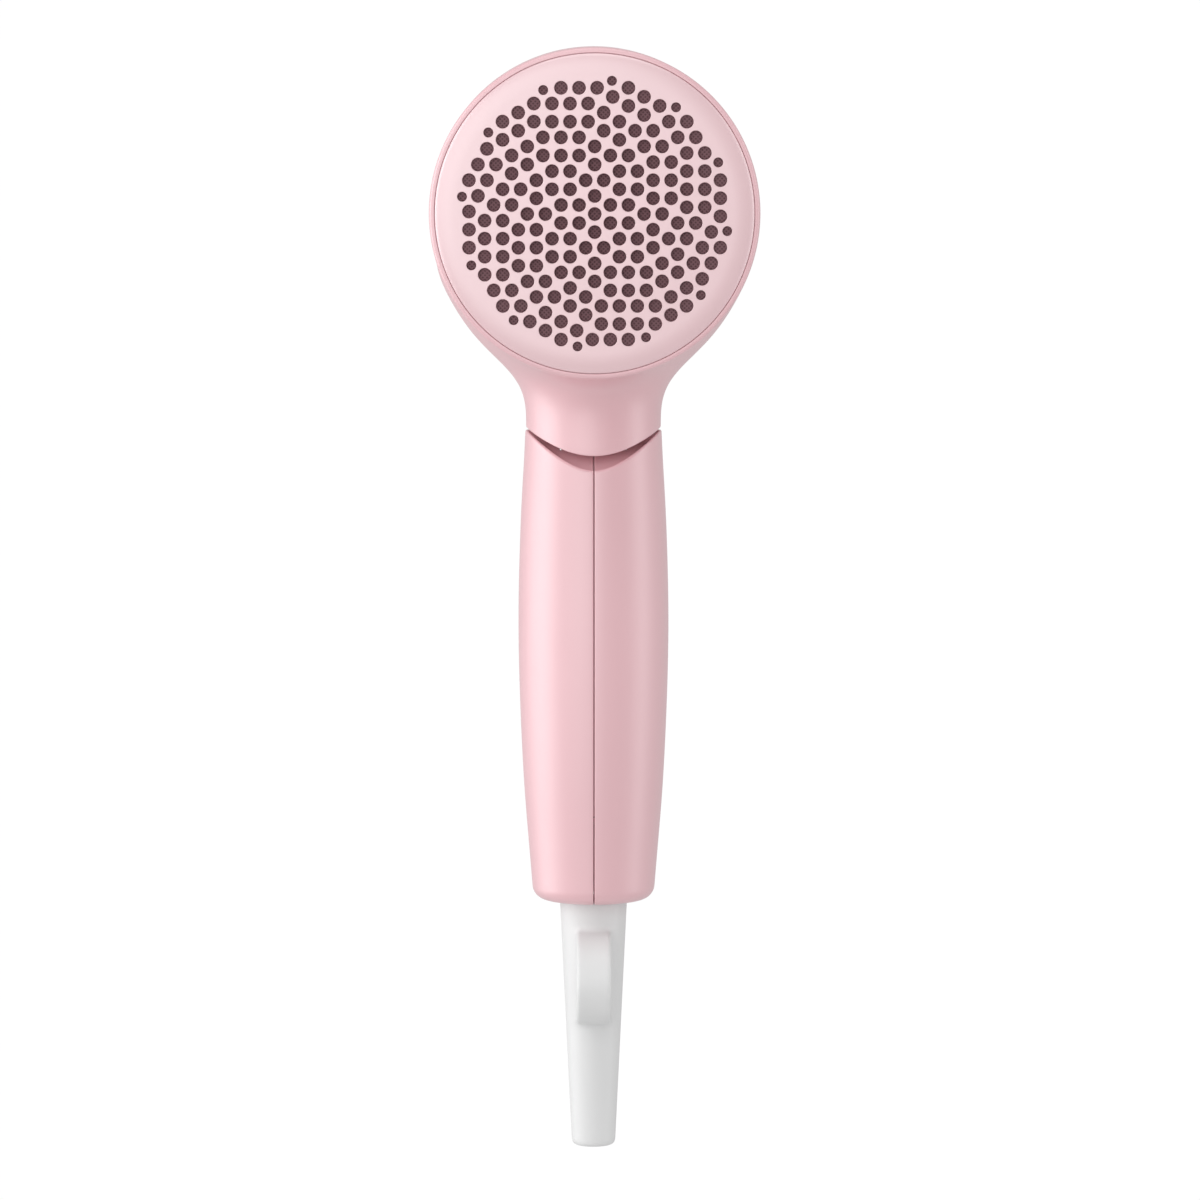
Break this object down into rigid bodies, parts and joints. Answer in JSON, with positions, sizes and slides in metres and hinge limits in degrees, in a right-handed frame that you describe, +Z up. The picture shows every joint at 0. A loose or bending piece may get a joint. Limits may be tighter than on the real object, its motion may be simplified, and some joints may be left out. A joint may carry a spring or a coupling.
{
  "type": "hair dryer",
  "caption": "Folding hair dryer with a round perforated inlet cap, tapered barrel, flared neck, fold joint, two-part handle and a tapered tail with a hanging loop.",
  "frame": {"origin": "middle of the grip, on the handle's own axis", "axes": "+X to the right seen from the inlet side, +Y along the barrel from inlet to outlet, +Z up from the tail to the head"},
  "size_m": [0.08, 0.1264, 0.275],
  "materials": {
    "head_pink": "satin",
    "cap_pink": "satin",
    "handle_pink": "satin",
    "tail_white": "matte",
    "filter_dark": "matte",
    "collar_grey": "matte",
    "grille_dark": "matte",
    "ivory_plastic": "matte",
    "motor_steel": "brushed",
    "black_plastic": "matte",
    "shaft_steel": "machined",
    "mica": "matte",
    "heater_wire": "drawn wire",
    "sensor_metal": "stamped",
    "lead_sleeve": "matte",
    "white_plastic": "satin",
    "brass": "stamped",
    "board": "solder mask",
    "capacitor_film": "film"
  },
  "bodies": {
    "handle": {"handle_left": "handle_pink", "handle_right": "handle_pink", "hinge_pin_left": "shaft_steel", "hinge_pin_right": "shaft_steel", "fold_detent": "shaft_steel", "switch_bezel": "white_plastic", "switch_body": "black_plastic", "switch_terminals": "brass", "circuit_board": "board", "capacitor": "capacitor_film", "handle_leads": "lead_sleeve", "cord_clamp": "ivory_plastic", "clamp_screws": "shaft_steel", "handle_screws": "shaft_steel", "tail": "tail_white"},
    "head": {"head_housing": "head_pink", "rear_cap": "cap_pink", "inlet_filter": "filter_dark", "outlet_collar": "collar_grey", "outlet_grille": "grille_dark", "fan_duct": "ivory_plastic", "motor_can": "motor_steel", "motor_brush_cap": "black_plastic", "mica_tube": "mica", "mica_cross": "mica", "heater_coils": "heater_wire", "thermostat": "sensor_metal", "thermal_fuse": "sensor_metal", "rectifier_diodes": "black_plastic", "head_leads": "lead_sleeve", "hinge_knuckle": "head_pink", "knuckle_screws": "shaft_steel"},
    "rotor": {"motor_shaft": "shaft_steel", "fan_impeller": "ivory_plastic"},
    "switch": {"switch_knob": "white_plastic"}
  },
  "joints": [
    {"name": "handle_fold", "type": "hinge", "parent": "handle", "child": "head", "pos_m": [0, 0, 0.0342], "axis": [-1, 0, 0], "range_deg": [0, 90]},
    {"name": "fan_spin", "type": "hinge", "parent": "head", "child": "rotor", "pos_m": [0, 0, 0.11], "axis": [0, 1, 0], "continuous": true},
    {"name": "switch_slide", "type": "slide", "parent": "handle", "child": "switch", "axis": [0, 0, 1], "range_m": [0, 0.008]}
  ]
}
